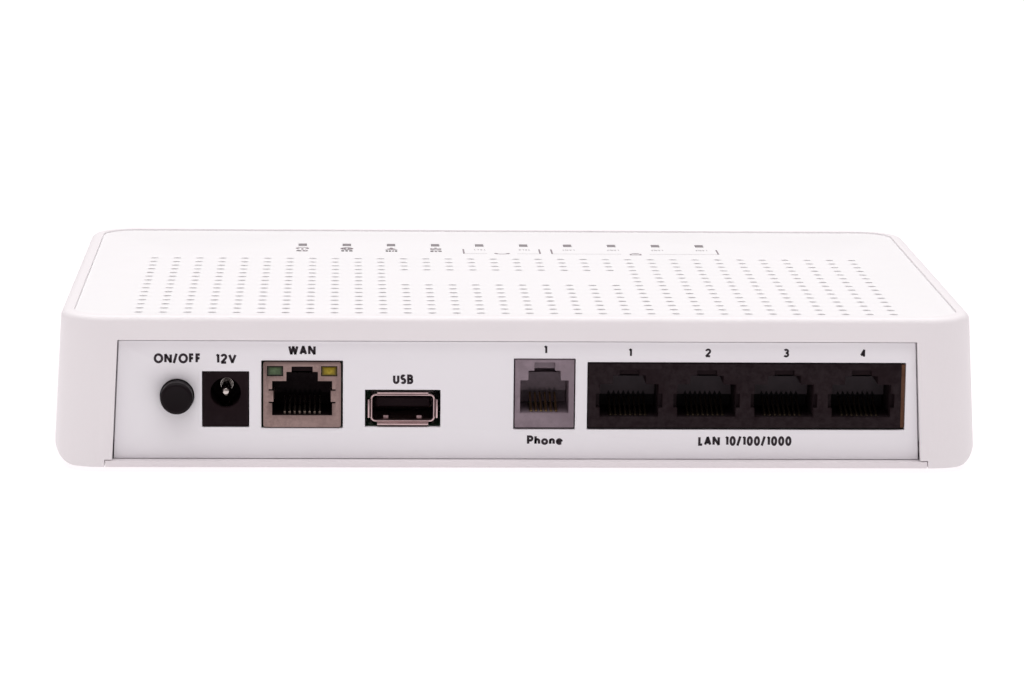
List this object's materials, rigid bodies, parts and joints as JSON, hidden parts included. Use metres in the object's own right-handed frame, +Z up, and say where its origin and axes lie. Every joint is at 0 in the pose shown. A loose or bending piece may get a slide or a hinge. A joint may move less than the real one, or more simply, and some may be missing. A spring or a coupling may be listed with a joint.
{
  "type": "home internet gateway",
  "caption": "Low white plastic gateway box with a perforated top, a row of indicator windows, and power, network, data and telephone sockets with a push button along its rear panel.",
  "frame": {"origin": "Middle of the object in plan, on the surface that its feet stand on.", "axes": "+Z is up, -Y is the rear with the sockets, +Y is the front with the indicator windows, +X is to the right when looking at the sockets."},
  "size_m": [0.1894, 0.1238, 0.0319],
  "materials": {
    "housing_white": "fine moulded grain",
    "vent_plate_white": "fine moulded grain",
    "panel_white": "smooth matt",
    "base_white": "fine moulded grain",
    "foot_rubber": "matt",
    "screw_steel": "zinc plated",
    "clear_pipe": "smoked clear moulding",
    "label_silver": "blank film label",
    "board_green": "solder resist",
    "chip_black": "moulded epoxy",
    "heat_sink_metal": "anodised",
    "tin_plate": "tin plated",
    "capacitor_can": "sleeved can",
    "ferrite": "sintered",
    "small_part_ceramic": "fired",
    "light_chip": "clear resin",
    "jack_black": "semi gloss",
    "jack_grey": "smooth",
    "jack_shield": "nickel plated",
    "contact_gold": "gold flash",
    "pin_nickel": "nickel plated",
    "green_lens": "tinted",
    "yellow_lens": "tinted",
    "button_black": "satin",
    "switch_black": "moulded",
    "switch_blue": "moulded",
    "spring_steel": "drawn wire"
  },
  "bodies": {
    "gateway": {"antenna_left": "tin_plate", "antenna_right": "tin_plate", "base_plate": "base_white", "board_screws": "screw_steel", "case_screws": "screw_steel", "chip_leads": "tin_plate", "clock_crystals": "tin_plate", "flash_chip": "chip_black", "gateway_processor": "chip_black", "jack_transformers": "chip_black", "lan_ground_strip": "jack_shield", "lan_jack_body": "jack_black", "lan_jack_combs": "jack_black", "lan_jack_contacts": "contact_gold", "light_pipes": "clear_pipe", "main_board": "board_green", "memory_chips": "chip_black", "network_switch_chip": "chip_black", "phone_jack_body": "jack_grey", "phone_jack_comb": "jack_grey", "phone_jack_contacts": "contact_gold", "phone_line_chip": "chip_black", "power_inductors": "ferrite", "power_jack_body": "jack_black", "power_jack_pin": "pin_nickel", "power_jack_spring": "pin_nickel", "power_regulators": "chip_black", "power_switch_body": "switch_blue", "power_switch_bracket": "tin_plate", "power_switch_spring": "spring_steel", "power_switch_terminals": "tin_plate", "processor_heat_sink": "heat_sink_metal", "radio_chip": "chip_black", "radio_shield": "tin_plate", "rating_label": "label_silver", "reset_switch_body": "switch_black", "rubber_feet": "foot_rubber", "small_board_parts": "small_part_ceramic", "socket_panel": "panel_white", "status_lights": "light_chip", "supply_capacitors": "capacitor_can", "top_vent_plate": "vent_plate_white", "upper_housing": "housing_white", "usb_contacts": "contact_gold", "usb_shell": "jack_shield", "usb_tongue": "jack_black", "wan_activity_light": "yellow_lens", "wan_jack_body": "jack_black", "wan_jack_comb": "jack_black", "wan_jack_contacts": "contact_gold", "wan_jack_shield": "jack_shield", "wan_link_light": "green_lens"},
    "power_button": {"power_button_cap": "button_black", "power_switch_plunger": "switch_black"},
    "reset_button": {"reset_switch_plunger": "switch_black"}
  },
  "joints": [
    {"name": "power_button_press", "type": "slide", "parent": "gateway", "child": "power_button", "axis": [0, 1, 0], "range_m": [0, 0.0025], "stiffness_N_per_m": 800, "springref_m": -0.001, "deforming": ["power_switch_spring"]},
    {"name": "reset_button_press", "type": "slide", "parent": "gateway", "child": "reset_button", "axis": [0, 0, 1], "range_m": [0, 0.00025], "stiffness_N_per_m": 3000, "springref_m": -0.0002}
  ]
}
